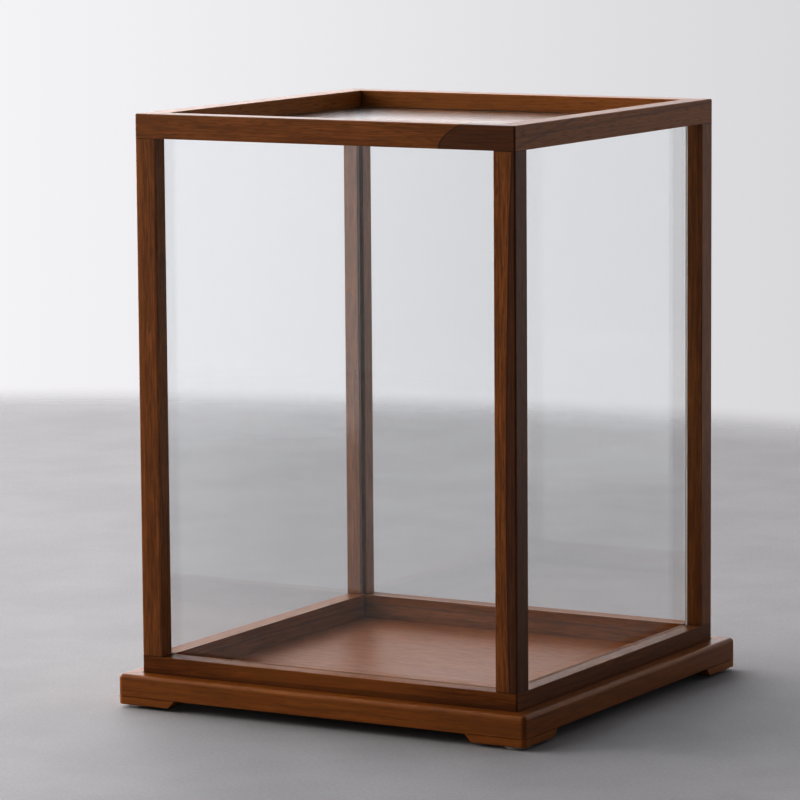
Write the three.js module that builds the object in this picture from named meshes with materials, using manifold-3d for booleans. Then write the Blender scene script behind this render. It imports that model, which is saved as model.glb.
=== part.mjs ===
// Table-top display case: a wooden-framed glass cover that lifts off a wooden base.
//
// Millimetres, +Z up, front towards -Y. The origin is the middle of the footprint, at floor level.

import * as THREE from 'three';
import { mergeVertices } from 'three/addons/utils/BufferGeometryUtils.js';
import Module from 'manifold-3d';

// Driving dimensions of the cover. Its height is taken from the floor that shows inside it.

const coverWidth = 300;
const coverDepth = 300;
const coverHeight = 400;

// Cover frame: how far the glass stands behind the faces, and the rebates that it stands in

const sideReveal = 11.5;
const topReveal = 12;
const railRebateWidth = 5.5;
const railRebateHeight = 5;
const postRebateWidth = 5;
const coverEdgeRadius = 1;
const coverCornerEasing = 0.2;
const sightEdgeRadius = 0.5;

// Glass

const glassThickness = 3;
const glassBed = 0.3;
const glassArris = 0.4;

// Base border, its rebate and the floor in it. The floor has a raised field inside the cover's rails, which
// stand on its lower edge.

const borderOverhang = 13;
const borderHeight = 16;
const borderEdgeRadius = 3;
const borderCornerEasing = 0.6;
const borderUnderEdgeRadius = 0.8;
const coverRecess = 5;
const coverClearance = 0.5;
const floorThickness = 5;
const floorFit = 0.3;
const fieldStep = 1;
const fieldClearance = 0.5;
const fieldArris = 0.3;
const ledgeWidth = 10;

// Feet and pads

const footHeight = 5.5;
const footLength = 46.5;
const padDiameter = 18;
const padThickness = 2.2;
const padMargin = 3;
const padEdgeRadius = 0.6;

// Hidden joinery

const glueLine = 0.14;
const jointFit = 0.2;
const dowelDiameter = 6;
const dowelDepth = 10;
const dowelChamfer = 0.8;
const tongueLength = 18;
const tongueWidth = 10;

// One overrun serves every cut that has to pass right through a face

const overrun = 4;

// Facets of the round forms

const cornerSegments = 5;
const edgeSegments = 4;
const borderEdgeSegments = 7;
const arrisSegments = 2;
const dowelSegments = 24;
const padSegments = 40;

// Sizes that follow from the ones above

const railWidth = sideReveal + railRebateWidth;
const railHeight = topReveal + railRebateHeight;
const bottomRailHeight = railHeight + fieldStep;
const frameHeight = coverHeight + fieldStep;
const postWidth = sideReveal + postRebateWidth;
const coverCornerRadius = coverEdgeRadius + coverCornerEasing;
const borderCornerRadius = borderEdgeRadius + borderCornerEasing;
const borderWidth = coverWidth + 2 * borderOverhang;
const borderDepth = coverDepth + 2 * borderOverhang;
const borderRim = borderOverhang - coverClearance;
const borderSection = borderRim + ledgeWidth;
const rebateDepth = coverRecess + floorThickness;
const ledgeThickness = borderHeight - rebateDepth;
const footTop = padThickness + footHeight;
const borderTop = footTop + borderHeight;
const floorTop = borderTop - coverRecess;
const coverBottom = floorTop - fieldStep;
const coverTop = floorTop + coverHeight;
const postLength = coverHeight - 2 * railHeight - 2 * glueLine;
const glassWidth = coverWidth - 2 * sideReveal - 2 * glassBed;
const glassDepth = coverDepth - 2 * sideReveal - 2 * glassBed;
const glassTop = coverTop - topReveal - glassBed;
const sill = coverBottom + bottomRailHeight - railRebateHeight + glassBed;
const paneHeight = glassTop - glassThickness - glassBed - sill;
const sidePaneRun = glassDepth - 2 * (glassThickness + glassBed);
const padInset = padMargin + padDiameter / 2;
const dowelInset = sideReveal / 2;
const tongueThickness = ledgeThickness / 2;

const wasm = await Module();
wasm.setup();

// Closed mesh to solid, and back again

function toSolid(geometry) {
  const bare = geometry.clone();
  bare.deleteAttribute('normal');
  bare.deleteAttribute('uv');
  const merged = mergeVertices(bare);
  return new wasm.Manifold(new wasm.Mesh({
    numProp: 3,
    vertProperties: Float32Array.from(merged.attributes.position.array),
    triVerts: Uint32Array.from(merged.index.array),
  }));
}

function toGeometry(solid) {
  const mesh = solid.getMesh();
  const geometry = new THREE.BufferGeometry();
  geometry.setAttribute('position', new THREE.BufferAttribute(Float32Array.from(mesh.vertProperties), 3));
  geometry.setIndex(new THREE.BufferAttribute(Uint32Array.from(mesh.triVerts), 1));
  const flat = geometry.toNonIndexed();
  flat.computeVertexNormals();
  return flat;
}

function cut(geometry, tools) {
  let solid = toSolid(geometry);
  for (const tool of tools) solid = solid.subtract(toSolid(tool));
  return toGeometry(solid);
}

function join(geometry, other) {
  return toGeometry(toSolid(geometry).add(toSolid(other)));
}

function keepInside(geometry, envelope) {
  return toGeometry(toSolid(geometry).intersect(toSolid(envelope)));
}

// Outlines

function roundedRectangle(width, depth, radius) {
  const right = width / 2;
  const back = depth / 2;
  const shape = new THREE.Shape();
  shape.moveTo(-right + radius, -back);
  shape.lineTo(right - radius, -back);
  shape.absarc(right - radius, -back + radius, radius, -Math.PI / 2, 0, false);
  shape.lineTo(right, back - radius);
  shape.absarc(right - radius, back - radius, radius, 0, Math.PI / 2, false);
  shape.lineTo(-right + radius, back);
  shape.absarc(-right + radius, back - radius, radius, Math.PI / 2, Math.PI, false);
  shape.lineTo(-right, -back + radius);
  shape.absarc(-right + radius, -back + radius, radius, Math.PI, Math.PI * 1.5, false);
  return shape;
}

// A slab with rounded upright corners and both flat faces rounded over at their edges

function roundedSlab(width, depth, height, cornerRadius, edgeRadius, segments) {
  const geometry = new THREE.ExtrudeGeometry(roundedRectangle(width, depth, cornerRadius), {
    depth: height - 2 * edgeRadius,
    bevelEnabled: true,
    bevelThickness: edgeRadius,
    bevelSize: edgeRadius,
    bevelOffset: -edgeRadius,
    bevelSegments: segments,
    curveSegments: cornerSegments,
  });
  geometry.translate(0, 0, edgeRadius);
  return geometry;
}

// Rail sections: u runs in from the outer face, v runs up from the underside

function topRailSection() {
  const shape = new THREE.Shape();
  shape.moveTo(0, 0);
  shape.lineTo(sideReveal, 0);
  shape.lineTo(sideReveal, railRebateHeight);
  shape.lineTo(railWidth, railRebateHeight);
  shape.lineTo(railWidth, railHeight - sightEdgeRadius);
  shape.absarc(
    railWidth - sightEdgeRadius, railHeight - sightEdgeRadius, sightEdgeRadius,
    0, Math.PI / 2, false,
  );
  shape.lineTo(0, railHeight);
  return shape;
}

function bottomRailSection() {
  const shape = new THREE.Shape();
  shape.moveTo(0, 0);
  shape.lineTo(railWidth, 0);
  shape.lineTo(railWidth, bottomRailHeight - railRebateHeight);
  shape.lineTo(sideReveal, bottomRailHeight - railRebateHeight);
  shape.lineTo(sideReveal, bottomRailHeight);
  shape.lineTo(sightEdgeRadius, bottomRailHeight);
  shape.absarc(
    sightEdgeRadius, bottomRailHeight - sightEdgeRadius, sightEdgeRadius,
    Math.PI / 2, Math.PI, false,
  );
  return shape;
}

function borderSectionShape() {
  const shape = new THREE.Shape();
  shape.moveTo(0, 0);
  shape.lineTo(borderSection, 0);
  shape.lineTo(borderSection, ledgeThickness);
  shape.lineTo(borderRim, ledgeThickness);
  shape.lineTo(borderRim, borderHeight - sightEdgeRadius);
  shape.absarc(
    borderRim - sightEdgeRadius, borderHeight - sightEdgeRadius, sightEdgeRadius,
    0, Math.PI / 2, false,
  );
  shape.lineTo(0, borderHeight);
  return shape;
}

// A straight member of a mitred frame. It lies along X with its outer face on y = 0, and each end is cut
// back at 45 degrees, short of the joint by half the glue line.

function mitredMember(section, length) {
  const geometry = new THREE.ExtrudeGeometry(section, {
    depth: length,
    bevelEnabled: false,
    curveSegments: arrisSegments,
  });
  const position = geometry.attributes.position;
  const shorten = (glueLine / 2) * Math.SQRT2;
  for (let i = 0; i < position.count; i += 1) {
    const inward = position.getX(i);
    const up = position.getY(i);
    const reach = length / 2 - inward - shorten;
    position.setXYZ(i, position.getZ(i) > 0 ? reach : -reach, inward, up);
  }
  return geometry;
}

// Places the four members or corners of a frame round its middle

const turns = [
  { side: 'front', corner: 'front_left', across: 0, along: -1 },
  { side: 'right', corner: 'front_right', across: 1, along: 0 },
  { side: 'back', corner: 'back_right', across: 0, along: 1 },
  { side: 'left', corner: 'back_left', across: -1, along: 0 },
];

const cornerPlaces = [
  [-1, -1],
  [1, -1],
  [1, 1],
  [-1, 1],
];

function quarterTurn(step) {
  return step * Math.PI / 2;
}

function placeOnSide(mesh, step, width, depth, z) {
  mesh.position.set(turns[step].across * width / 2, turns[step].along * depth / 2, z);
  mesh.rotation.z = quarterTurn(step);
  return mesh;
}

function placeAtCorner(mesh, step, width, depth, z) {
  mesh.position.set(cornerPlaces[step][0] * width / 2, cornerPlaces[step][1] * depth / 2, z);
  mesh.rotation.z = quarterTurn(step);
  return mesh;
}

function sideRun(step, width, depth) {
  return step % 2 === 0 ? [width, depth] : [depth, width];
}

// Materials, one for each mesh

function material(color, roughness, extra = {}) {
  return new THREE.MeshStandardMaterial({ color, roughness, metalness: 0, ...extra });
}

const frameWood = () => material(0x6f3f20, 0.42);
const baseWood = () => material(0x85501f, 0.4);
const floorWood = () => material(0x9a5f34, 0.38);
const innerWood = () => material(0xc9a878, 0.75);
const clearGlass = () => material(0xdfe9e6, 0.04, { transparent: true, opacity: 0.28 });
const padRubber = () => material(0xc9c9c4, 0.8);

function part(name, geometry, finish) {
  const mesh = new THREE.Mesh(geometry, finish);
  mesh.name = name;
  return mesh;
}

// Dowels and their holes

function dowelGeometry() {
  const radius = dowelDiameter / 2;
  const half = dowelDepth + glueLine / 2;
  const profile = [
    new THREE.Vector2(0, -half),
    new THREE.Vector2(radius - dowelChamfer, -half),
    new THREE.Vector2(radius, -half + dowelChamfer),
    new THREE.Vector2(radius, half - dowelChamfer),
    new THREE.Vector2(radius - dowelChamfer, half),
    new THREE.Vector2(0, half),
  ];
  return new THREE.LatheGeometry(profile, dowelSegments).rotateX(Math.PI / 2);
}

function dowelHole(x, y, mouthZ, direction) {
  const depth = dowelDepth + jointFit;
  const hole = new THREE.CylinderGeometry(
    dowelDiameter / 2 + jointFit,
    dowelDiameter / 2 + jointFit,
    depth + overrun,
    dowelSegments,
  );
  hole.rotateX(Math.PI / 2);
  hole.translate(x, y, mouthZ + direction * (depth - overrun) / 2);
  return hole;
}

function railHoles(length, mouthZ, direction) {
  const reach = length / 2 - dowelInset;
  return [-reach, reach].map((x) => dowelHole(x, dowelInset, mouthZ, direction));
}

// Cover frame

function coverEnvelope(length, other) {
  const slab = roundedSlab(length, other, frameHeight, coverCornerRadius, coverEdgeRadius, edgeSegments);
  return slab.translate(0, other / 2, railHeight - frameHeight);
}

function topRailGeometry(length, other) {
  const rail = keepInside(mitredMember(topRailSection(), length), coverEnvelope(length, other));
  return cut(rail, railHoles(length, 0, 1));
}

function bottomRailGeometry(length, other) {
  const upright = coverEnvelope(length, other).translate(0, 0, frameHeight - railHeight);
  const rail = keepInside(mitredMember(bottomRailSection(), length), upright);
  return cut(rail, railHoles(length, bottomRailHeight, -1));
}

function addRails(group) {
  for (let step = 0; step < turns.length; step += 1) {
    const [length, other] = sideRun(step, coverWidth, coverDepth);
    const side = turns[step].side;
    const top = part(`cover_top_rail_${side}`, topRailGeometry(length, other), frameWood());
    const bottom = part(`cover_bottom_rail_${side}`, bottomRailGeometry(length, other), frameWood());
    group.add(placeOnSide(top, step, coverWidth, coverDepth, coverTop - railHeight));
    group.add(placeOnSide(bottom, step, coverWidth, coverDepth, coverBottom));
  }
}

// Corner post: its outer corner is on the origin, and the glass stands in the notch of its inner corner

function postShape() {
  const shape = new THREE.Shape();
  shape.moveTo(coverCornerRadius, 0);
  shape.lineTo(postWidth - sightEdgeRadius, 0);
  shape.absarc(postWidth - sightEdgeRadius, sightEdgeRadius, sightEdgeRadius, -Math.PI / 2, 0, false);
  shape.lineTo(postWidth, sideReveal);
  shape.lineTo(sideReveal, sideReveal);
  shape.lineTo(sideReveal, postWidth);
  shape.lineTo(sightEdgeRadius, postWidth);
  shape.absarc(sightEdgeRadius, postWidth - sightEdgeRadius, sightEdgeRadius, Math.PI / 2, Math.PI, false);
  shape.lineTo(0, coverCornerRadius);
  shape.absarc(coverCornerRadius, coverCornerRadius, coverCornerRadius, Math.PI, Math.PI * 1.5, false);
  return shape;
}

function postGeometry() {
  const post = new THREE.ExtrudeGeometry(postShape(), {
    depth: postLength,
    bevelEnabled: false,
    curveSegments: cornerSegments,
  });
  return cut(post, [
    dowelHole(dowelInset, dowelInset, 0, 1),
    dowelHole(dowelInset, dowelInset, postLength, -1),
  ]);
}

function addPosts(group) {
  for (let step = 0; step < turns.length; step += 1) {
    const post = part(`corner_post_${turns[step].corner}`, postGeometry(), frameWood());
    group.add(placeAtCorner(post, step, coverWidth, coverDepth, coverBottom + bottomRailHeight + glueLine));
  }
}

function addDowels(group) {
  const width = coverWidth - 2 * dowelInset;
  const depth = coverDepth - 2 * dowelInset;
  const levels = [
    { name: 'top', z: coverTop - railHeight - glueLine / 2 },
    { name: 'bottom', z: coverBottom + bottomRailHeight + glueLine / 2 },
  ];
  for (const level of levels) {
    for (let step = 0; step < turns.length; step += 1) {
      const dowel = part(`post_dowel_${level.name}_${turns[step].corner}`, dowelGeometry(), innerWood());
      group.add(placeAtCorner(dowel, step, width, depth, level.z));
    }
  }
}

// A flat sheet with a narrow chamfer round both faces. It lies with its middle on x = 0 and an edge on y = 0.

function easedSheet(width, depth, thickness, arris) {
  const half = width / 2 - arris;
  const shape = new THREE.Shape();
  shape.moveTo(-half, arris);
  shape.lineTo(half, arris);
  shape.lineTo(half, depth - arris);
  shape.lineTo(-half, depth - arris);
  return new THREE.ExtrudeGeometry(shape, {
    depth: thickness - 2 * arris,
    bevelEnabled: true,
    bevelThickness: arris,
    bevelSize: arris,
    bevelSegments: 1,
  }).translate(0, 0, arris);
}

// Glass: the front and back panes run the full width of the rebates, the left and right panes stand between
// them, and the top pane lies on all four

function paneGeometry(width, height) {
  return easedSheet(width, height, glassThickness, glassArris);
}

function addSidePanes(group) {
  const inset = 2 * (sideReveal + glassBed);
  for (let step = 0; step < turns.length; step += 1) {
    const width = step % 2 === 0 ? glassWidth : sidePaneRun;
    const upright = paneGeometry(width, paneHeight).rotateX(Math.PI / 2).translate(0, glassThickness, 0);
    const pane = part(`side_glass_${turns[step].side}`, upright, clearGlass());
    group.add(placeOnSide(pane, step, coverWidth - inset, coverDepth - inset, sill));
  }
}

function addTopPane(group) {
  const flat = paneGeometry(glassWidth, glassDepth).translate(0, -glassDepth / 2, 0);
  const pane = part('top_glass', flat, clearGlass());
  pane.position.z = glassTop - glassThickness;
  group.add(pane);
}

function makeCover() {
  const cover = new THREE.Group();
  addRails(cover);
  addPosts(cover);
  addDowels(cover);
  addSidePanes(cover);
  addTopPane(cover);
  return cover;
}

// Base: two blocks twice the border's height trim what shows outside. The upper one ends at the border's top
// and rounds its upper edge, the lower one starts at the underside and eases the lower edge.

function upperEnvelope(length, other) {
  const slab = roundedSlab(
    length,
    other,
    2 * borderHeight,
    borderCornerRadius,
    borderEdgeRadius,
    borderEdgeSegments,
  );
  return slab.translate(0, other / 2, -borderHeight);
}

function lowerEnvelope(length, other) {
  const slab = roundedSlab(
    length,
    other,
    2 * borderHeight,
    borderCornerRadius,
    borderUnderEdgeRadius,
    edgeSegments,
  );
  return slab.translate(0, other / 2, 0);
}

function tongueOutline(grow) {
  const radius = tongueWidth / 2 + grow;
  const reach = (tongueLength - tongueWidth) / 2;
  const shape = new THREE.Shape();
  shape.moveTo(-reach, -radius);
  shape.lineTo(reach, -radius);
  shape.absarc(reach, 0, radius, -Math.PI / 2, Math.PI / 2, false);
  shape.lineTo(-reach, radius);
  shape.absarc(-reach, 0, radius, Math.PI / 2, Math.PI * 1.5, false);
  return shape;
}

// Lies flat along the mitre of a front left corner, with its middle halfway across the border

function tongueGeometry(grow) {
  const slab = new THREE.ExtrudeGeometry(tongueOutline(grow), {
    depth: tongueThickness + 2 * grow,
    bevelEnabled: false,
    curveSegments: cornerSegments,
  });
  const z = (ledgeThickness - tongueThickness) / 2 - grow;
  return slab.rotateZ(Math.PI / 4).translate(borderSection / 2, borderSection / 2, z);
}

function tongueSlots(length) {
  const left = tongueGeometry(jointFit).translate(-length / 2, 0, 0);
  const right = tongueGeometry(jointFit).rotateZ(Math.PI / 2).translate(length / 2, 0, 0);
  return [left, right];
}

function borderGeometry(length, other) {
  const rounded = keepInside(mitredMember(borderSectionShape(), length), upperEnvelope(length, other));
  return cut(keepInside(rounded, lowerEnvelope(length, other)), tongueSlots(length));
}

function addBorder(group) {
  for (let step = 0; step < turns.length; step += 1) {
    const [length, other] = sideRun(step, borderWidth, borderDepth);
    const member = part(`base_border_${turns[step].side}`, borderGeometry(length, other), baseWood());
    group.add(placeOnSide(member, step, borderWidth, borderDepth, footTop));
  }
}

function addTongues(group) {
  for (let step = 0; step < turns.length; step += 1) {
    const tongue = part(`base_tongue_${turns[step].corner}`, tongueGeometry(0), innerWood());
    group.add(placeAtCorner(tongue, step, borderWidth, borderDepth, footTop));
  }
}

// Floor panel, standing on z = 0: a board that fills the rebate, and the field that rises from it

function floorGeometry() {
  const grow = 2 * (coverClearance - floorFit);
  const shrink = 2 * (railWidth + fieldClearance);
  const boardThickness = floorThickness - fieldStep;
  const fieldDepth = coverDepth - shrink;
  const board = new THREE.BoxGeometry(coverWidth + grow, coverDepth + grow, boardThickness);
  board.translate(0, 0, boardThickness / 2);
  const field = easedSheet(coverWidth - shrink, fieldDepth, 2 * fieldStep, fieldArris);
  field.translate(0, -fieldDepth / 2, floorThickness - 2 * fieldStep);
  return join(board, field);
}

function addFloor(group) {
  const floor = part('floor_panel', floorGeometry(), floorWood());
  floor.position.z = floorTop - floorThickness;
  group.add(floor);
}

// Foot block: square on plan, with the two sides that face along the base sloping in at 45 degrees

function footGeometry() {
  const height = footHeight - glueLine;
  const block = new THREE.BoxGeometry(footLength, footLength, height);
  block.translate(footLength / 2, footLength / 2, height / 2);
  const position = block.attributes.position;
  for (let i = 0; i < position.count; i += 1) {
    if (position.getZ(i) < height / 2) {
      if (position.getX(i) > footLength / 2) position.setX(i, footLength - height);
      if (position.getY(i) > footLength / 2) position.setY(i, footLength - height);
    }
  }
  return keepInside(block, lowerEnvelope(borderWidth, borderDepth).translate(borderWidth / 2, 0, 0));
}

function padGeometry() {
  const radius = padDiameter / 2;
  const profile = [new THREE.Vector2(0, 0)];
  for (let i = 0; i <= edgeSegments; i += 1) {
    const angle = (i / edgeSegments) * Math.PI / 2;
    profile.push(new THREE.Vector2(
      radius - padEdgeRadius * (1 - Math.sin(angle)),
      padEdgeRadius * (1 - Math.cos(angle)),
    ));
  }
  profile.push(new THREE.Vector2(radius, padThickness));
  profile.push(new THREE.Vector2(0, padThickness));
  return new THREE.LatheGeometry(profile, padSegments).rotateX(Math.PI / 2);
}

function addFeet(group) {
  for (let step = 0; step < turns.length; step += 1) {
    const corner = turns[step].corner;
    const foot = part(`foot_block_${corner}`, footGeometry(), baseWood());
    group.add(placeAtCorner(foot, step, borderWidth, borderDepth, padThickness));
    const pad = part(`foot_pad_${corner}`, padGeometry(), padRubber());
    group.add(placeAtCorner(pad, step, borderWidth - 2 * padInset, borderDepth - 2 * padInset, 0));
  }
}

function makeBase() {
  const base = new THREE.Group();
  addBorder(base);
  addTongues(base);
  addFloor(base);
  addFeet(base);
  return base;
}

const displayCase = new THREE.Group();
displayCase.add(makeBase());
displayCase.add(makeCover());

export default displayCase;
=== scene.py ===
"""Looks of a table-top display case: a wooden-framed glass cover that lifts off a wooden base.

Everything is in metres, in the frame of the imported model: +Z up, the front towards -Y, and the origin in the
middle of the footprint, at the level that the case stands on.
"""

import logging
import math
from dataclasses import dataclass, field, replace
from enum import Enum

import bmesh
import bpy
from mathutils import Matrix, Vector


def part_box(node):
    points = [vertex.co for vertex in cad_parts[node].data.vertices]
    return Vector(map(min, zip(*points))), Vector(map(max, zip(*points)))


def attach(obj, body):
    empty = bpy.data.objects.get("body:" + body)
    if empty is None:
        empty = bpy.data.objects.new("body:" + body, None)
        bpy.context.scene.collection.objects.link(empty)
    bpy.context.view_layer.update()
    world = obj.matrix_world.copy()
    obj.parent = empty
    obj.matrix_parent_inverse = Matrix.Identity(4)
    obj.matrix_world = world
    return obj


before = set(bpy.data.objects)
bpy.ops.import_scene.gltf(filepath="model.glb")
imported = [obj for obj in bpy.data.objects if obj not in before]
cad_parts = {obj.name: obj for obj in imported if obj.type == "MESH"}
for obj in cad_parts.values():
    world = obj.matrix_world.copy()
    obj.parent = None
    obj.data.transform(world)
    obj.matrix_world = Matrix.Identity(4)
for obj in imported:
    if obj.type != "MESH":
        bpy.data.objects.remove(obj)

log = logging.getLogger("display_case")

Colour = tuple[float, float, float]
Socket = bpy.types.NodeSocket
MM = 0.001


class Along(Enum):
    """The axis that a member's grain runs along."""

    X = 0
    Y = 1
    Z = 2


class Side(Enum):
    """A side of the case, with the axis that its rails run along."""

    FRONT = ("front", Along.X)
    RIGHT = ("right", Along.Y)
    BACK = ("back", Along.X)
    LEFT = ("left", Along.Y)

    @property
    def label(self) -> str:
        """The side's word in the names of the nodes."""
        return self.value[0]

    @property
    def run(self) -> Along:
        """The axis that the side's rails run along."""
        return self.value[1]


class Corner(Enum):
    """A corner of the case."""

    FRONT_LEFT = "front_left"
    FRONT_RIGHT = "front_right"
    BACK_RIGHT = "back_right"
    BACK_LEFT = "back_left"

    @property
    def label(self) -> str:
        """The corner's words in the names of the nodes."""
        return self.value


@dataclass(frozen=True)
class Pattern:
    """A noise: how often it changes in a metre along each axis, its finer layers and how strong these are."""

    scale: tuple[float, float, float]
    detail: float
    roughness: float = 0.5


class Graph:
    """The node tree of a material or of the world, with short calls for the nodes that are used."""

    def __init__(self, name: str, tree: bpy.types.NodeTree | None = None, output: str = "Material") -> None:
        """Empties a node tree and gives it an output.

        Args:
            name: the name of the material, made new if no tree is given.
            tree: the node tree of something else.
            output: the kind of the tree's output.
        """
        if tree is None:
            self.material = bpy.data.materials.new(name)
            self.material.use_nodes = True
            tree = self.material.node_tree
        self.tree = tree
        self.tree.nodes.clear()
        self.output = self.tree.nodes.new("ShaderNodeOutput" + output)

    def node(self, kind: str, **settings: object) -> bpy.types.Node:
        """Adds a node.

        Args:
            kind: the node's type, without the leading ShaderNode.
            **settings: attributes to set on the node.

        Returns:
            The new node.
        """
        made = self.tree.nodes.new("ShaderNode" + kind)
        for key, value in settings.items():
            setattr(made, key, value)
        return made

    def feed(self, target: Socket, source: object) -> None:
        """Links a socket, or sets its value.

        Args:
            target: the input.
            source: a socket, or a plain value.
        """
        if isinstance(source, bpy.types.NodeSocket):
            self.tree.links.new(source, target)
        else:
            target.default_value = source

    def maths(self, operation: str, *values: object) -> Socket:
        """Adds a Math node.

        Args:
            operation: the node's operation.
            *values: sockets or numbers for its inputs.

        Returns:
            The result.
        """
        made = self.node("Math", operation=operation)
        for target, value in zip(made.inputs, values):
            self.feed(target, value)
        return made.outputs[0]

    def vector(self, x: object, y: object, z: object) -> Socket:
        """Joins three numbers to a vector.

        Args:
            x: the first number or socket.
            y: the second.
            z: the third.

        Returns:
            The vector.
        """
        made = self.node("CombineXYZ")
        for target, value in zip(made.inputs, (x, y, z)):
            self.feed(target, value)
        return made.outputs[0]

    def noise(self, place: list[Socket], pattern: Pattern) -> Socket:
        """Adds a noise.

        Args:
            place: the three numbers of the place where it is read.
            pattern: its scale and its layers.

        Returns:
            The noise, about 0.5 on average.
        """
        scaled = [self.maths("MULTIPLY", value, times) for value, times in zip(place, pattern.scale)]
        made = self.node("TexNoise")
        made.inputs["Scale"].default_value = 1.0
        made.inputs["Detail"].default_value = pattern.detail
        made.inputs["Roughness"].default_value = pattern.roughness
        self.feed(made.inputs["Vector"], self.vector(*scaled))
        return made.outputs["Fac"]

    def swing(self, noise: Socket, reach: float, base: object) -> Socket:
        """Moves a value up and down with a noise.

        Args:
            noise: the noise, about 0.5 on average.
            reach: how far a noise from 0 to 1 moves the value.
            base: the value itself.

        Returns:
            The moved value.
        """
        return self.maths("MULTIPLY_ADD", self.maths("SUBTRACT", noise, 0.5), reach, base)

    def agreement(self, first: object, second: object) -> Socket:
        """How far two directions agree.

        Args:
            first: a direction or socket.
            second: a direction or socket.

        Returns:
            Their dot product, 1 where they are the same.
        """
        made = self.node("VectorMath", operation="DOT_PRODUCT")
        self.feed(made.inputs[0], first)
        self.feed(made.inputs[1], second)
        return made.outputs["Value"]

    def step(self, value: object, low: float, high: float, bottom: float = 0.0, top: float = 1.0) -> Socket:
        """Turns a value smoothly from one level to another.

        Args:
            value: the value read.
            low: where the turn starts.
            high: where it ends.
            bottom: the level before it.
            top: the level after it.

        Returns:
            The level.
        """
        made = self.node("MapRange", interpolation_type="SMOOTHSTEP")
        for key, amount in (("From Min", low), ("From Max", high), ("To Min", bottom), ("To Max", top)):
            made.inputs[key].default_value = amount
        self.feed(made.inputs["Value"], value)
        return made.outputs["Result"]

    def blend(self, amount: object, first: object, second: object) -> Socket:
        """Mixes two colours.

        Args:
            amount: the second colour's share.
            first: a colour or socket.
            second: a colour or socket.

        Returns:
            The mixed colour.
        """
        made = self.node("Mix", data_type="RGBA", clamp_factor=True)
        self.feed(made.inputs["Factor"], amount)
        self.feed(made.inputs["A"], first if isinstance(first, bpy.types.NodeSocket) else (*first, 1.0))
        self.feed(made.inputs["B"], second if isinstance(second, bpy.types.NodeSocket) else (*second, 1.0))
        return made.outputs["Result"]

    def ramp(self, value: Socket, stops: list[tuple[float, Colour]]) -> Socket:
        """Adds a colour ramp.

        Args:
            value: the place on the ramp.
            stops: the places and colours, from low to high.

        Returns:
            The colour.
        """
        made = self.node("ValToRGB")
        elements = made.color_ramp.elements
        while len(elements) < len(stops):
            elements.new(0.5)
        for element, (place, colour) in zip(elements, stops):
            element.position = place
            element.color = (*colour, 1.0)
        self.feed(made.inputs["Fac"], value)
        return made.outputs["Color"]

    def axes(self) -> list[Socket]:
        """The place on the object in metres, as three numbers."""
        split = self.node("SeparateXYZ")
        self.feed(split.inputs[0], self.node("TexCoord").outputs["Object"])
        return list(split.outputs)

    def bump(self, height: Socket, distance: float, strength: float, normal: object = None) -> Socket:
        """Adds a bump.

        Args:
            height: the relief, 0 to 1.
            distance: its depth in metres.
            strength: how much of it shows.
            normal: the normal that it is laid on, if not the surface's own.

        Returns:
            The bent normal.
        """
        made = self.node("Bump")
        made.inputs["Strength"].default_value = strength
        made.inputs["Distance"].default_value = distance
        self.feed(made.inputs["Height"], height)
        if normal is not None:
            self.feed(made.inputs["Normal"], normal)
        return made.outputs["Normal"]

    def mix_shaders(self, share: object, first: bpy.types.Node, second: bpy.types.Node) -> None:
        """Mixes two shaders and links them to the output.

        Args:
            share: the second shader's share.
            first: a shader node.
            second: a shader node.
        """
        mixed = self.node("MixShader")
        self.feed(mixed.inputs[0], share)
        self.feed(mixed.inputs[1], first.outputs[0])
        self.feed(mixed.inputs[2], second.outputs[0])
        self.feed(self.output.inputs["Surface"], mixed.outputs[0])

    def principled(self, **values: object) -> bpy.types.Node:
        """Adds a surface's main shader and links it to the output.

        Args:
            **values: its inputs, with underscores for the spaces in their names.

        Returns:
            The shader node.
        """
        made = self.node("BsdfPrincipled")
        for key, value in values.items():
            self.feed(made.inputs[key.replace("_", " ")], value)
        self.tree.links.new(made.outputs[0], self.output.inputs["Surface"])
        return made


@dataclass(frozen=True)
class Figure:
    """A line or band of another tone in the wood, which follows a gentle curve through the member."""

    across: Along
    runs: Along
    at: float
    start: float = 0.0
    slope: float = 0.0
    curve: float = 0.0
    half_width: float = 0.4 * MM
    soft: float = 0.8 * MM
    strength: float = 0.5
    wander: float = 1.2 * MM
    paler: bool = False


@dataclass(frozen=True)
class Grain:
    """How one member was sawn from its log."""

    along: Along
    seed: float
    pith: tuple[float, float] = (0.06, 0.035)
    tone: float = 0.0
    mitred: bool = False
    ends: tuple[float, ...] = ()
    figures: tuple[Figure, ...] = ()

    @property
    def axes(self) -> tuple[int, int, int]:
        """The numbers of the axis along the grain and of the two across it."""
        return self.along.value, (self.along.value + 1) % 3, (self.along.value + 2) % 3


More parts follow.
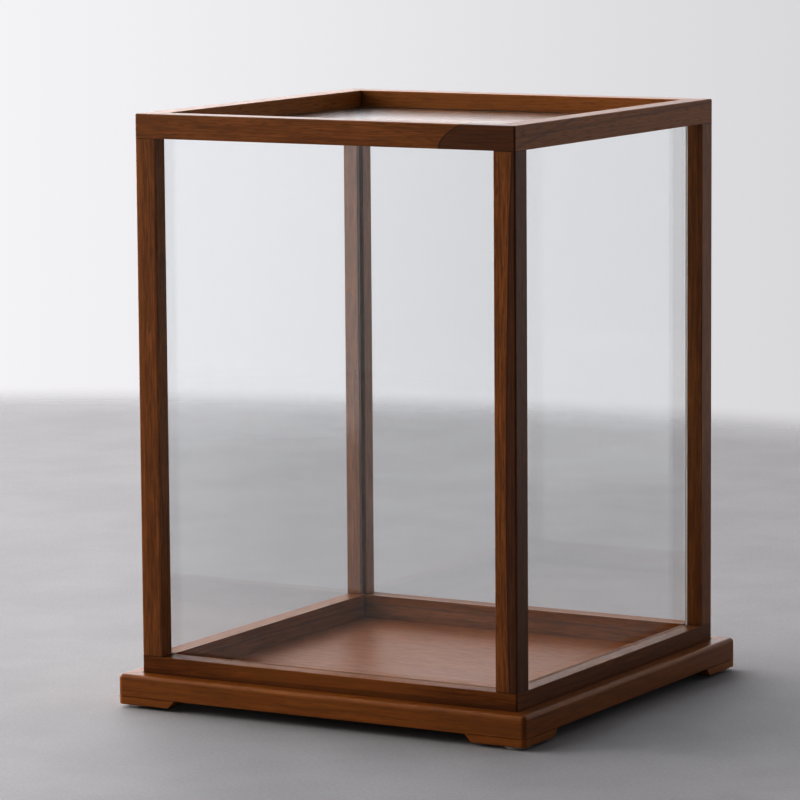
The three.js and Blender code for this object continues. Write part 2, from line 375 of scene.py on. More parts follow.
@dataclass(frozen=True)
class SatinWood:
    """Red-brown hardwood under a satin lacquer, with fine pores, growth rings and paler edges, partly rubbed
    wear and partly painted highlight.
    """

    pale: Colour
    body: Colour
    dark: Colour
    heart: Colour
    seed_steps: tuple[float, float, float] = (0.731, 0.173, 0.257)
    sway: Pattern = Pattern((5.0, 24.0, 24.0), 1.5)
    broad: Pattern = Pattern((9.0, 130.0, 130.0), 2.0)
    fibre: Pattern = Pattern((36.0, 620.0, 620.0), 3.0, 0.6)
    pore: Pattern = Pattern((85.0, 1150.0, 1150.0), 1.5, 0.6)
    pore_span: tuple[float, float] = (0.52, 0.66)
    tone_stops: tuple[float, float, float] = (0.18, 0.5, 0.82)
    middle_tone: float = 0.5
    ring_spacing: float = 2.6 * MM
    ring_bend: float = 14 * MM
    ring_power: float = 3.0
    ring_end: float = 0.93
    ring_depth: float = 0.16
    fibre_depth: float = 0.75
    broad_depth: float = 0.3
    pore_depth: float = 0.55
    joint_half_width: float = 0.28 * MM
    joint_fade: float = 2.2
    joint_depth: float = 0.7
    edge_radius: float = 0.4 * MM
    edge_samples: int = 4
    edge_span: tuple[float, float] = (0.75, 0.985)
    # Paler edges: partly rubbed wear, partly a painted highlight on the rounded arrises.
    edge_wear_and_highlight: float = 0.4
    wear_and_highlight_span: tuple[float, float] = (0.35, 0.6)
    wear_and_highlight_levels: tuple[float, float] = (0.35, 1.0)
    relief: float = 0.05 * MM
    relief_strength: float = 0.5
    fibre_relief: float = 0.4
    pore_relief: float = -0.6
    ring_relief: float = -0.15
    roughness: float = 0.33
    roughness_spread: float = 0.1
    pore_roughness: float = 0.1
    ior: float = 1.3

    def local(self, graph: Graph, grain: Grain) -> list[Socket]:
        """The place in the member, with its grain first.

        Args:
            graph: the material's nodes.
            grain: how the member was sawn.

        Returns:
            The place along the grain and the two places across it, moved by the member's seed.
        """
        place = graph.axes()
        shifts = [grain.seed * step for step in self.seed_steps]
        return [graph.maths("ADD", place[index], shift) for index, shift in zip(grain.axes, shifts)]

    def rings(self, graph: Graph, grain: Grain, sway: Socket) -> Socket:
        """Growth rings: pale early wood that darkens slowly and ends in a thin dark line.

        Args:
            graph: the material's nodes.
            grain: how the member was sawn.
            sway: a slow noise that bends the rings.

        Returns:
            The darkness of the ring, 0 to 1.
        """
        own = graph.axes()
        away = [graph.maths("ADD", own[index], pith) for index, pith in zip(grain.axes[1:], grain.pith)]
        squares = graph.maths("ADD", *[graph.maths("MULTIPLY", value, value) for value in away])
        distance = graph.swing(sway, self.ring_bend, graph.maths("SQRT", squares))
        phase = graph.maths("FRACT", graph.maths("DIVIDE", distance, self.ring_spacing))
        rise = graph.maths("POWER", phase, self.ring_power)
        fall = graph.step(phase, self.ring_end, 1.0, 1.0, 0.0)
        return graph.maths("MULTIPLY", rise, fall)

    def figure_mask(self, graph: Graph, figure: Figure, sway: Socket) -> Socket:
        """Where one figure shows.

        Args:
            graph: the material's nodes.
            figure: the figure.
            sway: a slow noise that makes its edge wander.

        Returns:
            The figure's strength at this place.
        """
        own = graph.axes()
        run = graph.maths("SUBTRACT", own[figure.runs.value], figure.start)
        bent = graph.maths("MULTIPLY", graph.maths("MULTIPLY", run, run), figure.curve)
        line = graph.maths("ADD", graph.maths("MULTIPLY_ADD", run, figure.slope, figure.at), bent)
        offset = graph.maths("SUBTRACT", graph.swing(sway, figure.wander, own[figure.across.value]), line)
        gap = graph.maths("ABSOLUTE", offset)
        return graph.step(gap, figure.half_width, figure.half_width + figure.soft, figure.strength, 0.0)

    def joint_mask(self, graph: Graph, grain: Grain) -> Socket:
        """The dark glue line at a member's mitres and square ends.

        Args:
            graph: the material's nodes.
            grain: how the member was sawn.

        Returns:
            The line's strength at this place.
        """
        own = graph.axes()
        near = []
        if grain.mitred:
            widths = [graph.maths("ABSOLUTE", own[index]) for index in (0, 1)]
            near.append(graph.maths("ABSOLUTE", graph.maths("SUBTRACT", *widths)))
        for end in grain.ends:
            near.append(graph.maths("ABSOLUTE", graph.maths("SUBTRACT", own[grain.along.value], end)))
        gap = near[0]
        for other in near[1:]:
            gap = graph.maths("MINIMUM", gap, other)
        outer = self.joint_fade * self.joint_half_width
        return graph.step(gap, self.joint_half_width, outer, self.joint_depth, 0.0)

    def material(self, name: str, grain: Grain) -> bpy.types.Material:
        """Makes the wood of one member.

        Args:
            name: the material's name.
            grain: how the member was sawn.

        Returns:
            The material.
        """
        graph = Graph(name)
        place = self.local(graph, grain)
        sway = graph.noise(place, self.sway)
        broad = graph.noise(place, self.broad)
        fibre = graph.noise(place, self.fibre)
        pores = graph.step(graph.noise(place, self.pore), *self.pore_span)
        ring = self.rings(graph, grain, sway)

        tone = graph.swing(broad, self.broad_depth, self.middle_tone + grain.tone)
        tone = graph.swing(fibre, self.fibre_depth, tone)
        tone = graph.maths("MULTIPLY_ADD", ring, -self.ring_depth, tone)
        colour = graph.ramp(tone, list(zip(self.tone_stops, (self.dark, self.body, self.pale))))
        colour = graph.blend(graph.maths("MULTIPLY", pores, self.pore_depth), colour, self.dark)
        for figure in grain.figures:
            mask = self.figure_mask(graph, figure, sway)
            colour = graph.blend(mask, colour, self.pale if figure.paler else self.heart)
        if grain.mitred or grain.ends:
            colour = graph.blend(self.joint_mask(graph, grain), colour, self.heart)

        # Edges are painted paler: partly rubbed wear, partly a painted highlight where a rounded edge catches
        # the light.
        rounded = graph.node("Bevel", samples=self.edge_samples)
        rounded.inputs["Radius"].default_value = self.edge_radius
        facing = graph.agreement(rounded.outputs["Normal"], graph.node("NewGeometry").outputs["Normal"])
        worn_and_highlit_edge = graph.step(facing, *self.edge_span, self.edge_wear_and_highlight, 0.0)
        worn_and_highlit_edge = graph.maths("MULTIPLY", worn_and_highlit_edge, graph.step(broad, *self.wear_and_highlight_span, *self.wear_and_highlight_levels))
        colour = graph.blend(worn_and_highlit_edge, colour, self.pale)

        relief = graph.maths("MULTIPLY", fibre, self.fibre_relief)
        relief = graph.maths("MULTIPLY_ADD", pores, self.pore_relief, relief)
        relief = graph.maths("MULTIPLY_ADD", ring, self.ring_relief, relief)
        normal = graph.bump(relief, self.relief, self.relief_strength, rounded.outputs["Normal"])
        rough = graph.swing(fibre, self.roughness_spread, self.roughness)
        rough = graph.maths("MULTIPLY_ADD", pores, self.pore_roughness, rough)
        graph.principled(Base_Color=colour, Roughness=rough, Normal=normal, IOR=self.ior)
        return graph.material


@dataclass(frozen=True)
class FloatGlass:
    """Clear float glass with ground edges and faint smears, and a film and dust where these are asked for."""

    tint: Colour = (0.965, 0.975, 0.978)
    shadow: Colour = (0.9, 0.92, 0.92)
    ior: float = 1.5
    ground_edge: Colour = (0.86, 0.83, 0.79)
    edge_rim: float = 0.42 * MM
    edge_roughness: float = 0.55
    smear: Pattern = Pattern((22.0, 22.0, 22.0), 4.0, 0.6)
    smear_span: tuple[float, float] = (0.45, 0.75)
    haze: float = 0.012
    dust: float = 0.0
    film: float = 0.0
    film_roughness: float = 0.22
    film_ior: float = 1.5

    def material(self, name: str, low: Vector, high: Vector) -> bpy.types.Material:
        """Makes the glass of one pane.

        Args:
            name: the material's name.
            low: the pane's lowest corner.
            high: its highest corner.

        Returns:
            The material.
        """
        graph = Graph(name)
        own = graph.axes()
        thin = min(range(3), key=lambda index: high[index] - low[index])
        rims = []
        for index in range(3):
            if index != thin:
                middle = (low[index] + high[index]) / 2
                half = (high[index] - low[index]) / 2
                offset = graph.maths("ABSOLUTE", graph.maths("SUBTRACT", own[index], middle))
                rims.append(graph.maths("SUBTRACT", half, offset))
        rim = graph.maths("MINIMUM", *rims)
        ground = graph.maths("LESS_THAN", rim, self.edge_rim)
        face = graph.maths("SUBTRACT", 1.0, ground)
        rough = graph.step(graph.noise(own, self.smear), *self.smear_span, 0.0, self.haze)
        shader = graph.principled(
            Base_Color=graph.blend(ground, self.tint, self.ground_edge),
            Roughness=graph.maths("MULTIPLY_ADD", ground, self.edge_roughness, rough),
            IOR=self.ior,
            Transmission_Weight=graph.maths("MULTIPLY", face, 1.0 - self.dust),
            Coat_Weight=self.film,
            Coat_Roughness=self.film_roughness,
            Coat_IOR=self.film_ior,
        )
        clear = graph.node("BsdfTransparent")
        clear.inputs["Color"].default_value = (*self.shadow, 1.0)
        graph.mix_shaders(graph.node("LightPath").outputs["Is Shadow Ray"], shader, clear)
        return graph.material


@dataclass(frozen=True)
class PadRubber:
    """Pale grey rubber of the pads, matt and slightly soiled."""

    clean: Colour = (0.55, 0.54, 0.52)
    soiled: Colour = (0.33, 0.31, 0.29)
    cloud: Pattern = Pattern((160.0, 160.0, 160.0), 3.0)
    cloud_span: tuple[float, float] = (0.35, 0.7)
    soil: float = 0.8
    speck: Pattern = Pattern((900.0, 900.0, 900.0), 2.0)
    relief: float = 0.1 * MM
    relief_strength: float = 0.6
    roughness: float = 0.72
    roughness_spread: float = 0.15
    ior: float = 1.45

    def material(self, name: str) -> bpy.types.Material:
        """Makes the pads' material.

        Args:
            name: the material's name.

        Returns:
            The material.
        """
        graph = Graph(name)
        own = graph.axes()
        soil = graph.step(graph.noise(own, self.cloud), *self.cloud_span, 0.0, self.soil)
        speck = graph.noise(own, self.speck)
        graph.principled(
            Base_Color=graph.blend(soil, self.clean, self.soiled),
            Roughness=graph.maths("MULTIPLY_ADD", speck, self.roughness_spread, self.roughness),
            Normal=graph.bump(speck, self.relief, self.relief_strength),
            IOR=self.ior,
        )
        return graph.material


COVER_WOOD = SatinWood(
    pale=(0.36, 0.132, 0.028),
    body=(0.238, 0.079, 0.0125),
    dark=(0.12, 0.036, 0.005),
    heart=(0.042, 0.0115, 0.0035),
)
BASE_WOOD = SatinWood(
    pale=(0.39, 0.137, 0.02),
    body=(0.262, 0.084, 0.009),
    dark=(0.145, 0.042, 0.005),
    heart=(0.04, 0.011, 0.003),
    fibre_depth=0.5,
    pore_depth=0.35,
    ring_depth=0.12,
    edge_radius=0.2 * MM,
)
FLOOR_WOOD = SatinWood(
    pale=(0.36, 0.135, 0.045),
    body=(0.25, 0.085, 0.024),
    dark=(0.16, 0.05, 0.013),
    heart=(0.08, 0.025, 0.008),
    roughness=0.42,
)
BARE_WOOD = SatinWood(
    pale=(0.6, 0.44, 0.27),
    body=(0.5, 0.35, 0.2),
    dark=(0.36, 0.23, 0.12),
    heart=(0.22, 0.13, 0.07),
    roughness=0.62,
)


def dress(node: str, material: bpy.types.Material) -> None:
    """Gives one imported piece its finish.

    Args:
        node: the piece's name.
        material: its finish.
    """
    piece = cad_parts[node]
    piece.data.materials.clear()
    piece.data.materials.append(material)
    log.info("%s dressed in %s", node, material.name)


def grained(node: str, finish: SatinWood, grain: Grain) -> None:
    """Gives one wooden piece its own piece of wood.

    Args:
        node: the piece's name.
        finish: the wood's finish.
        grain: how the piece was sawn.
    """
    dress(node, finish.material(f"{node}_wood", grain))


def placed(name: str, data: bpy.types.ID) -> bpy.types.Object:
    """Puts data into the scene.

    Args:
        name: the object's name.
        data: its mesh, camera or light.

    Returns:
        The object.
    """
    made = bpy.data.objects.new(name, data)
    bpy.context.scene.collection.objects.link(made)
    return made


def shaped(name: str, mesh: bmesh.types.BMesh) -> bpy.types.Object:
    """Puts a mesh that is ready into the scene.

    Args:
        name: the object's name.
        mesh: the mesh, which is freed.

    Returns:
        The object.
    """
    data = bpy.data.meshes.new(name)
    mesh.to_mesh(data)
    mesh.free()
    return placed(name, data)


def prism(name: str, first: list[Vector], second: list[Vector]) -> bpy.types.Object:
    """Makes a closed solid between two outlines with as many points.

    Args:
        name: the solid's name.
        first: the outline of one end.
        second: the outline of the other end.

    Returns:
        The solid.
    """
    mesh = bmesh.new()
    rings = [[mesh.verts.new(point) for point in ring] for ring in (first, second)]
    count = len(first)
    for index in range(count):
        after = (index + 1) % count
        mesh.faces.new((rings[0][index], rings[0][after], rings[1][after], rings[1][index]))
    for ring in rings:
        mesh.faces.new(ring)
    bmesh.ops.recalc_face_normals(mesh, faces=mesh.faces)
    return shaped(name, mesh)


@dataclass
class Base:
    """The wooden base: mitred border, floor panel, foot blocks, pads and the hidden tongues."""

    wood: SatinWood = BASE_WOOD
    floor_wood: SatinWood = FLOOR_WOOD
    inner_wood: SatinWood = BARE_WOOD
    glue_wood: SatinWood = replace(BASE_WOOD, edge_radius=0.02 * MM)
    glue_slack: float = 0.01 * MM
    glue_inset: float = 0.15 * MM
    pad: PadRubber = PadRubber()
    seeds: dict[Side, float] = field(
        default_factory=lambda: {Side.FRONT: 1.3, Side.RIGHT: 4.1, Side.BACK: 7.7, Side.LEFT: 9.2}
    )
    # Tone of each border member; the right member is darkened as painted shade.
    tones: dict[Side, float] = field(
        default_factory=lambda: {Side.FRONT: 0.03, Side.RIGHT: -0.14, Side.BACK: 0.0, Side.LEFT: 0.0}
    )
    border_pith: tuple[float, float] = (0.05, 0.03)
    line_shares: tuple[float, float] = (0.36, 0.74)
    foot_pith: tuple[float, float] = (0.04, 0.05)
    foot_seeds: tuple[float, ...] = (11.5, 13.4, 15.3, 17.2)
    glue_seeds: tuple[float, ...] = (31.7, 33.6, 35.5, 37.4)
    floor_grain: Grain = Grain(Along.X, 2.9, pith=(0.09, 0.12))
    tongue_grain: Grain = Grain(Along.X, 5.6)

    def border_figures(self, side: Side) -> tuple[Figure, ...]:
        """The dark lines that show in one member of the border.

        Args:
            side: the member's side.

        Returns:
            Its figures.
        """
        low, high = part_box(f"base_border_{side.label}")
        levels = [low.z + share * (high.z - low.z) for share in self.line_shares]
        lower = Figure(Along.Z, side.run, levels[0], slope=0.006, strength=0.12, wander=5 * MM)
        upper = Figure(Along.Z, side.run, levels[1], slope=-0.004, strength=0.1, wander=4 * MM)
        if side is not Side.FRONT:
            return lower, upper
        end = Figure(Along.X, Along.Z, high.x, half_width=32 * MM, soft=60 * MM, strength=0.16, wander=8 * MM)
        return lower, upper, end

    def dress_border(self) -> None:
        """Dresses the four mitred members."""
        for side in Side:
            grain = Grain(
                side.run,
                self.seeds[side],
                pith=self.border_pith,
                tone=self.tones[side],
                mitred=True,
                figures=self.border_figures(side),
            )
            grained(f"base_border_{side.label}", self.wood, grain)

    def dress_floor(self) -> None:
        """Dresses the floor panel, whose grain runs from side to side."""
        grained("floor_panel", self.floor_wood, self.floor_grain)

    def dress_feet(self) -> None:
        """Dresses the foot blocks and the pads under them."""
        for corner, seed in zip(Corner, self.foot_seeds):
            grained(f"foot_block_{corner.label}", self.wood, Grain(Along.X, seed, pith=self.foot_pith))
        rubber = self.pad.material("foot_pad_rubber")
        for corner in Corner:
            dress(f"foot_pad_{corner.label}", rubber)

    def fill_joints(self) -> None:
        """Fills the glue line between each foot block and the border."""
        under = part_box("base_border_front")[0].z - self.glue_slack
        for corner, seed in zip(Corner, self.glue_seeds):
            low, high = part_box(f"foot_block_{corner.label}")
            first, last = ([low[axis] + self.glue_inset, high[axis] - self.glue_inset] for axis in (0, 1))
            plan = [(first[0], last[0]), (first[1], last[0]), (first[1], last[1]), (first[0], last[1])]
            ends = [[Vector((x, y, height)) for x, y in plan] for height in (high.z + self.glue_slack, under)]
            film = prism(f"foot_glue_line_{corner.label}", *ends)
            film.data.materials.append(self.glue_wood.material(f"{film.name}_wood", Grain(Along.X, seed)))
            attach(film, "base")
            log.info("%s filled", film.name)

    def dress_tongues(self) -> None:
        """Dresses the hidden tongues in the mitres."""
        bare = self.inner_wood.material("base_tongue_wood", self.tongue_grain)
        for corner in Corner:
            dress(f"base_tongue_{corner.label}", bare)

    def build(self) -> None:
        """Dresses the whole base."""
        self.dress_border()
        self.dress_floor()
        self.dress_feet()
        self.fill_joints()
        self.dress_tongues()


@dataclass
class Cover:
    """The glazed cover: top and bottom rails, corner posts, hidden dowels and panes."""

    wood: SatinWood = COVER_WOOD
    ledge_wood: SatinWood = replace(COVER_WOOD, roughness=0.43)
    front_ledge_wood: SatinWood = replace(COVER_WOOD, roughness=0.43, ior=1.2)
    back_ledge_wood: SatinWood = replace(COVER_WOOD, roughness=0.6, ior=1.5)
    right_wood: SatinWood = replace(COVER_WOOD, roughness=0.38, fibre_depth=0.5)
    back_wood: SatinWood = replace(COVER_WOOD, fibre_depth=0.45, pore_depth=0.35, roughness=0.36)
    post_wood: SatinWood = replace(COVER_WOOD, fibre_depth=1.1, pore_depth=0.65)
    inner_wood: SatinWood = BARE_WOOD
    glass: FloatGlass = FloatGlass()
    right_glass: FloatGlass = FloatGlass(ior=1.25)
    # The left pane's ground edge is coloured dark as painted shade.
    left_glass_painted_shade_edge: FloatGlass = FloatGlass(ground_edge=(0.1, 0.09, 0.075))
    top_glass: FloatGlass = FloatGlass(film=1.0, dust=0.045)
    top_seeds: dict[Side, float] = field(
        default_factory=lambda: {Side.FRONT: 3.1, Side.RIGHT: 5.3, Side.BACK: 6.4, Side.LEFT: 8.8}
    )
    bottom_seeds: dict[Side, float] = field(
        default_factory=lambda: {Side.FRONT: 12.7, Side.RIGHT: 14.2, Side.BACK: 15.9, Side.LEFT: 17.1}
    )
    post_seeds: dict[Corner, float] = field(
        default_factory=lambda: {
            Corner.FRONT_LEFT: 21.4,
            Corner.FRONT_RIGHT: 23.8,
            Corner.BACK_RIGHT: 26.3,
            Corner.BACK_LEFT: 28.6,
        }
    )
    # Tone of each post; the back right post is darkened as painted shade.
    post_tones_with_painted_shade: dict[Corner, float] = field(
        default_factory=lambda: {
            Corner.FRONT_LEFT: -0.02,
            Corner.FRONT_RIGHT: 0.05,
            Corner.BACK_RIGHT: -0.14,
            Corner.BACK_LEFT: 0.0,
        }
    )
    # Tone of each bottom rail; the front rail is darker, and the right rail is darkened as painted shade.
    bottom_tones: dict[Side, float] = field(
        default_factory=lambda: {Side.FRONT: -0.16, Side.RIGHT: -0.24, Side.BACK: 0.0, Side.LEFT: 0.0}
    )
    # Tone of each top rail; the back and left rails are lightened as painted light on their inner faces.
    top_tones_with_painted_light: dict[Side, float] = field(
        default_factory=lambda: {Side.FRONT: 0.0, Side.RIGHT: 0.0, Side.BACK: 0.28, Side.LEFT: 0.3}
    )
    post_pith: tuple[float, float] = (0.045, 0.07)
    dowel_grain: Grain = Grain(Along.Z, 31.0)

    def __post_init__(self) -> None:
        """Reads the cover's half width and the level of its top from the frame."""
        self.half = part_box("cover_bottom_rail_front")[1].x
        self.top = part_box("cover_top_rail_front")[1].z

    def top_figures(self, side: Side) -> tuple[Figure, ...]:
        """The figures of one top rail.

        Args:
            side: the rail's side.

        Returns:
            Its figures.
        """
        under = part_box(f"cover_top_rail_{side.label}")[0].z
        if side is Side.FRONT:
            knot_edge = self.half - 57.5 * MM
            reach = 40 * MM
            bow = Figure(Along.X, Along.Z, knot_edge, start=under, curve=60.0, wander=1 * MM)
            line = replace(bow, half_width=0.35 * MM, soft=0.5 * MM, strength=0.75)
            zone = replace(bow, at=knot_edge + reach, half_width=reach, soft=1.2 * MM, strength=0.62)
            return line, zone
        if side is Side.RIGHT:
            arris = self.top - 2.2 * MM
            line = Figure(Along.Z, Along.Y, under + 2 * MM, half_width=0.5 * MM, wander=2 * MM)
            sweep = replace(line, start=-self.half, slope=0.17, soft=1 * MM, strength=0.4)
            edge = replace(line, at=arris, start=self.half, slope=0.02, soft=0.9 * MM, strength=0.35)
            return sweep, edge
        return (Figure(Along.Z, side.run, under + 6 * MM, slope=0.01, strength=0.25, wander=5 * MM),)

    def bottom_figures(self, side: Side) -> tuple[Figure, ...]:
        """The figures of one bottom rail.

        Args:
            side: the rail's side.

        Returns:
            Its figures.
        """
        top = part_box(f"cover_bottom_rail_{side.label}")[1].z
        if side is Side.FRONT:
            pale = Figure(Along.X, Along.Z, 0.0, half_width=38 * MM, soft=75 * MM, strength=0.45, paler=True)
            dark = Figure(Along.Z, Along.X, top - 9.5 * MM, start=self.half, slope=0.012, half_width=2.2 * MM)
            return replace(pale, wander=9 * MM), replace(dark, soft=1.2 * MM, strength=0.35, wander=3 * MM)
        return (Figure(Along.Z, side.run, top - 7 * MM, slope=-0.008, strength=0.3, wander=4 * MM),)

    def post_figures(self, corner: Corner) -> tuple[Figure, ...]:
        """The figures of one corner post.

        Args:
            corner: the post's corner.

        Returns:
            Its figures.
        """
        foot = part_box(f"corner_post_{corner.label}")[0].z
        if corner is Corner.FRONT_RIGHT:
            reach = 7 * MM
            edge = self.half - 5.5 * MM
            lean = Figure(Along.X, Along.Z, edge, start=foot, slope=-0.027, curve=0.1, wander=1.6 * MM)
            band = replace(lean, at=edge + reach, half_width=reach, soft=0.6 * MM, strength=0.72)
            line = replace(lean, half_width=0.3 * MM, soft=0.5 * MM, strength=0.6)
            return band, line
        if corner is Corner.FRONT_LEFT:
            outer = -self.half + 1.5 * MM
            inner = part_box("corner_post_front_left")[1].x - 1.1 * MM
            # The pale strip along the outer left edge is a painted highlight, where the rounded corner catches
            # light from the left.
            strip = Figure(Along.X, Along.Z, outer, half_width=2.2 * MM, soft=1.4 * MM, wander=1.5 * MM)
            arris = Figure(Along.X, Along.Z, inner, half_width=0.3 * MM, soft=0.6 * MM, wander=0.3 * MM)
            return replace(strip, strength=0.3, paler=True), replace(arris, strength=0.5)
        return (Figure(Along.X, Along.Z, self.half - 4 * MM, slope=0.004, strength=0.3, wander=3 * MM),)

    def dress_rails(self) -> None:
        """Dresses the top and bottom rails."""
        upper = {Side.RIGHT: self.right_wood, Side.BACK: self.back_wood}
        lower = {Side.FRONT: self.front_ledge_wood, Side.BACK: self.back_ledge_wood}
        for side in Side:
            top = Grain(
                side.run,
                self.top_seeds[side],
                tone=self.top_tones_with_painted_light[side],
                mitred=True,
                figures=self.top_figures(side),
            )
            bottom = Grain(
                side.run,
                self.bottom_seeds[side],
                tone=self.bottom_tones[side],
                mitred=True,
                figures=self.bottom_figures(side),
            )
            grained(f"cover_top_rail_{side.label}", upper.get(side, self.wood), top)
            grained(f"cover_bottom_rail_{side.label}", lower.get(side, self.ledge_wood), bottom)

    def dress_posts(self) -> None:
        """Dresses the corner posts, whose grain stands upright."""
        for corner in Corner:
            low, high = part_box(f"corner_post_{corner.label}")
            grain = Grain(
                Along.Z,
                self.post_seeds[corner],
                pith=self.post_pith,
                tone=self.post_tones_with_painted_shade[corner],
                ends=(low.z, high.z),
                figures=self.post_figures(corner),
            )
            grained(f"corner_post_{corner.label}", self.post_wood, grain)

    def dress_dowels(self) -> None:
        """Dresses the hidden dowels."""
        bare = self.inner_wood.material("post_dowel_wood", self.dowel_grain)
        for level in ("top", "bottom"):
            for corner in Corner:
                dress(f"post_dowel_{level}_{corner.label}", bare)

    def dress_glass(self) -> None:
        """Dresses the five panes."""
        panes = {f"side_glass_{side.label}": self.glass for side in Side}
        panes["side_glass_right"] = self.right_glass
        panes["side_glass_left"] = self.left_glass_painted_shade_edge
        panes["top_glass"] = self.top_glass
        for pane, glass in panes.items():
            dress(pane, glass.material(f"{pane}_clear", *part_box(pane)))

    def build(self) -> None:
        """Dresses the whole cover."""
        self.dress_rails()
        self.dress_posts()
        self.dress_dowels()
        self.dress_glass()


@dataclass
class Glazing:
    """The wooden strips on the bottom rails that hold the side panes from inside."""

    wood: SatinWood = COVER_WOOD
    gap: float = 0.05 * MM
    square_rise: float = 0.45 * MM
    sloped_fall: float = 0.55 * MM
    sloped: tuple[Side, ...] = (Side.FRONT, Side.RIGHT)
    easing: float = 0.4 * MM
    easing_share: float = 0.3
    bed: float = 0.28 * MM
    seeds: dict[Side, float] = field(
        default_factory=lambda: {Side.FRONT: 41.2, Side.RIGHT: 43.1, Side.BACK: 45.6, Side.LEFT: 47.7}
    )
    tone: float = -0.05

    def __post_init__(self) -> None:
        """Reads the rails' and the panes' places from the frame."""
        _, rail_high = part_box("cover_bottom_rail_front")
        pane_low, pane_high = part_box("side_glass_front")
        self.rail_inner = -rail_high.y
        self.pane_inner = -pane_high.y
        self.step = pane_low.z - self.bed
        self.ledge = rail_high.z

    def strip_section(self, side: Side) -> list[tuple[float, float]]:
        """The strip's outline on one side of the case.

        The top slopes down to the pane at the front and on the right, and stands square on the other sides.

        Args:
            side: the side.

        Returns:
            The outline's points: how far from the middle of the case, and the height.
        """
        near, far = self.rail_inner, self.pane_inner - self.gap
        bottom = self.step + self.gap
        top = self.ledge if side in self.sloped else self.ledge + self.square_rise
        fall = self.sloped_fall if side in self.sloped else 0.0
        corner = self.easing_share * self.easing
        return [
            (near, bottom),
            (near, top - self.easing),
            (near + corner, top - corner),
            (near + self.easing, top),
            (far, top - fall),
            (far, bottom),
        ]

    def make_strips(self) -> None:
        """Lays a strip along each bottom rail, mitred at the corners."""
        for turn, side in enumerate(Side):
            about = Matrix.Rotation(turn * math.pi / 2, 3, "Z")
            outline = self.strip_section(side)
            ends = []
            for hand in (-1.0, 1.0):
                ring = [Vector((hand * (away - self.gap), -away, height)) for away, height in outline]
                ends.append([about @ point for point in ring])
            strip = prism(f"glazing_strip_{side.label}", *ends)
            grain = Grain(side.run, self.seeds[side], tone=self.tone, mitred=True)
            strip.data.materials.append(self.wood.material(f"{strip.name}_wood", grain))
            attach(strip, "cover")
            log.info("%s laid", strip.name)

    def build(self) -> None:
        """Makes the strips."""
        self.make_strips()


@dataclass(frozen=True)
class SoftLight:
    """A soft box: where it stands, what it faces, its size, power and colour."""

    name: str
    place: tuple[float, float, float]
    target: tuple[float, float, float]
    size: tuple[float, float]
    power: float
    colour: Colour


@dataclass(frozen=True)
class WallGlow:
    """A soft glow in the surroundings: the way that it lies, how wide it is, and its strength."""

    towards: tuple[float, float, float]
    low: float
    high: float
    strength: float


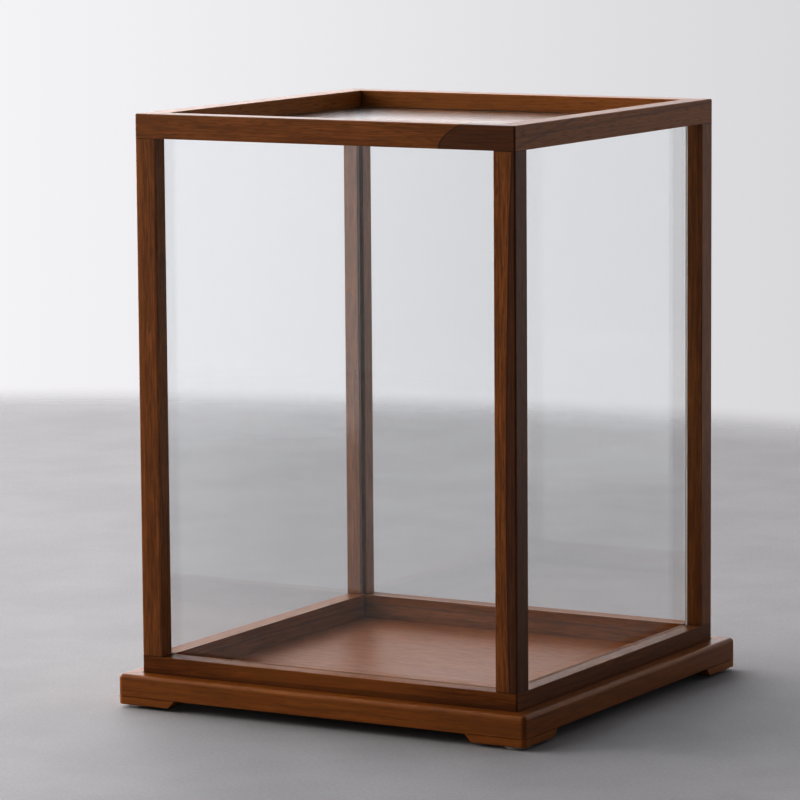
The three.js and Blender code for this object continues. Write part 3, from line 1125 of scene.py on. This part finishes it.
@dataclass
class Studio:
    """The camera, the pale floor, the light and the pale surroundings."""

    focal_length: float = 198.9
    sensor: float = 36.0
    camera_place: tuple[float, float, float] = (1.5359, -2.7245, 0.6263)
    camera_tilt: float = 7.60
    camera_turn: float = 29.81
    camera_roll: float = -0.424
    clip_end: float = 50.0
    floor_radius: float = 2.3
    fade_centre: tuple[float, float] = (-0.43, -0.25)
    fade_start: float = 1.44
    fade_end: float = 1.72
    floor_segments: int = 96
    floor_colour: Colour = (0.42, 0.414, 0.418)
    floor_roughness: float = 0.65
    floor_ior: float = 1.3
    # The floor is darkened towards the camera's right as painted shade, where the light falls off.
    floor_painted_shade: float = 0.84
    painted_shade_way: tuple[float, float] = (0.868, 0.497)
    painted_shade_span: tuple[float, float] = (-0.3, -0.1)
    cloud: Pattern = Pattern((9.0, 9.0, 9.0), 5.0, 0.6)
    cloud_span: tuple[float, float] = (0.35, 0.65)
    cloud_levels: tuple[float, float] = (0.95, 1.02)
    grit: Pattern = Pattern((420.0, 420.0, 420.0), 3.0, 0.6)
    grit_span: tuple[float, float] = (0.2, 0.8)
    grit_levels: tuple[float, float] = (0.93, 1.07)
    wall_colour: Colour = (0.985, 0.975, 1.0)
    wall_levels: tuple[float, float] = (0.64, 0.51)
    wall_turn: tuple[float, float, float] = (0.868, 0.497, 0.0)
    wall_span: float = 0.13
    direct_turns: float = 1.5
    glows: tuple[WallGlow, ...] = (
        WallGlow((-1.0, 0.0, 0.15), 0.3, 0.95, 2.4),
        WallGlow((-1.0, 0.0, 0.25), 0.65, 0.98, 1.7),
        WallGlow((-0.5, 0.86, 0.15), 0.75, 0.98, 0.8),
        WallGlow((0.0, 1.0, 0.15), 0.3, 0.95, 0.33),
        WallGlow((0.65, 0.75, 0.1), 0.3, 0.95, 0.34),
    )
    lights: tuple[SoftLight, ...] = (
        SoftLight("key_light", (-2.23, -1.1, 1.12), (0.0, 0.0, 0.2), (0.7, 0.7), 6.0, (1.0, 0.97, 0.93)),
        SoftLight("low_light", (-2.0, 0.0, 0.75), (-0.1, 0.0, 0.1), (1.4, 0.8), 6.0, (1.0, 1.0, 1.0)),
    )
    contrast: float = 1.3
    middle_grey: float = 0.18

    def make_camera(self) -> None:
        """Stands the camera at the place that the straight edges of the case give."""
        data = bpy.data.cameras.new("camera")
        data.sensor_width = self.sensor
        data.sensor_fit = "HORIZONTAL"
        data.lens = self.focal_length
        data.clip_end = self.clip_end
        camera = placed("camera", data)
        turn = Matrix.Rotation(math.radians(self.camera_turn), 4, "Z")
        tilt = Matrix.Rotation(math.radians(90.0 - self.camera_tilt), 4, "X")
        roll = Matrix.Rotation(math.radians(self.camera_roll), 4, "Z")
        camera.matrix_world = Matrix.Translation(self.camera_place) @ turn @ tilt @ roll
        bpy.context.scene.camera = camera

    def floor_material(self) -> bpy.types.Material:
        """The floor's pale grey, darkened towards the camera's right as painted shade, which clears away
        towards its rim.

        Returns:
            The material.
        """
        graph = Graph("studio_floor")
        own = graph.axes()
        away = [graph.maths("SUBTRACT", value, middle) for value, middle in zip(own, self.fade_centre)]
        squares = graph.maths("ADD", *[graph.maths("MULTIPLY", value, value) for value in away])
        radius = graph.maths("SQRT", squares)
        # Painted shade: the floor's colour darkens towards the camera's right.
        aside = graph.maths("ADD", *[graph.maths("MULTIPLY", *pair) for pair in zip(own, self.painted_shade_way)])
        light = graph.step(aside, *self.painted_shade_span, 1.0, self.floor_painted_shade)
        cloud = graph.step(graph.noise(own, self.cloud), *self.cloud_span, *self.cloud_levels)
        grit = graph.step(graph.noise(own, self.grit), *self.grit_span, *self.grit_levels)
        for change in (cloud, grit):
            light = graph.maths("MULTIPLY", light, change)
        colour = graph.blend(light, (0.0, 0.0, 0.0), self.floor_colour)
        colour.node.clamp_factor = False
        shader = graph.principled(Base_Color=colour, Roughness=self.floor_roughness, IOR=self.floor_ior)
        fade = graph.step(radius, self.fade_start, self.fade_end)
        graph.mix_shaders(fade, shader, graph.node("BsdfTransparent"))
        return graph.material

    def make_floor(self) -> None:
        """Lays the round floor."""
        mesh = bmesh.new()
        bmesh.ops.create_circle(mesh, cap_ends=True, radius=self.floor_radius, segments=self.floor_segments)
        floor = shaped("studio_floor", mesh)
        floor.data.materials.append(self.floor_material())

    def make_lights(self) -> None:
        """Hangs the soft lights."""
        for light in self.lights:
            data = bpy.data.lights.new(light.name, "AREA")
            data.shape = "RECTANGLE"
            data.size, data.size_y = light.size
            data.energy = light.power
            data.color = light.colour
            lamp = placed(light.name, data)
            lamp.location = light.place
            aim = Vector(light.target) - Vector(light.place)
            lamp.rotation_euler = aim.to_track_quat("-Z", "Y").to_euler()
            lamp.visible_camera = False

    def make_world(self) -> None:
        """Surrounds the case with a plain pale wall, which glows mostly behind it and on its left.

        The camera sees the wall itself, also through the glass. The glows light the case and are mirrored
        in it.
        """
        world = bpy.data.worlds.new("studio_world")
        bpy.context.scene.world = world
        world.use_nodes = True
        graph = Graph("studio_wall", world.node_tree, "World")
        way = graph.node("TexCoord").outputs["Generated"]
        level = 0.0
        for glow in self.glows:
            facing = graph.agreement(way, Vector(glow.towards).normalized())
            level = graph.maths("ADD", graph.step(facing, glow.low, glow.high, 0.0, glow.strength), level)
        lit = graph.node("Background")
        graph.feed(lit.inputs["Color"], (*self.wall_colour, 1.0))
        graph.feed(lit.inputs["Strength"], level)
        seen = graph.node("Background")
        graph.feed(seen.inputs["Color"], (*self.wall_colour, 1.0))
        aside = graph.agreement(way, Vector(self.wall_turn))
        shade = graph.step(aside, -self.wall_span, self.wall_span, *self.wall_levels)
        graph.feed(seen.inputs["Strength"], shade)
        path = graph.node("LightPath")
        turns = graph.maths("SUBTRACT", path.outputs["Ray Depth"], path.outputs["Transmission Depth"])
        graph.mix_shaders(graph.maths("LESS_THAN", turns, self.direct_turns), lit, seen)

    def build(self) -> None:
        """Makes the whole studio, and sets the picture's contrast about its middle grey."""
        view = bpy.context.scene.view_settings
        view.view_transform = "Standard"
        view.gamma = 1.0 / self.contrast
        view.exposure = math.log2(self.middle_grey ** (1.0 / self.contrast - 1.0))
        self.make_camera()
        self.make_floor()
        self.make_lights()
        self.make_world()


def main() -> None:
    """Builds the studio, the base and the cover in turn."""
    logging.basicConfig(level=logging.INFO, format="%(name)s: %(message)s")
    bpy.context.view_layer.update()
    for assembly in (Studio(), Base(), Cover(), Glazing()):
        assembly.build()
        log.info("%s done", type(assembly).__name__)


if __name__ == "__main__":
    main()
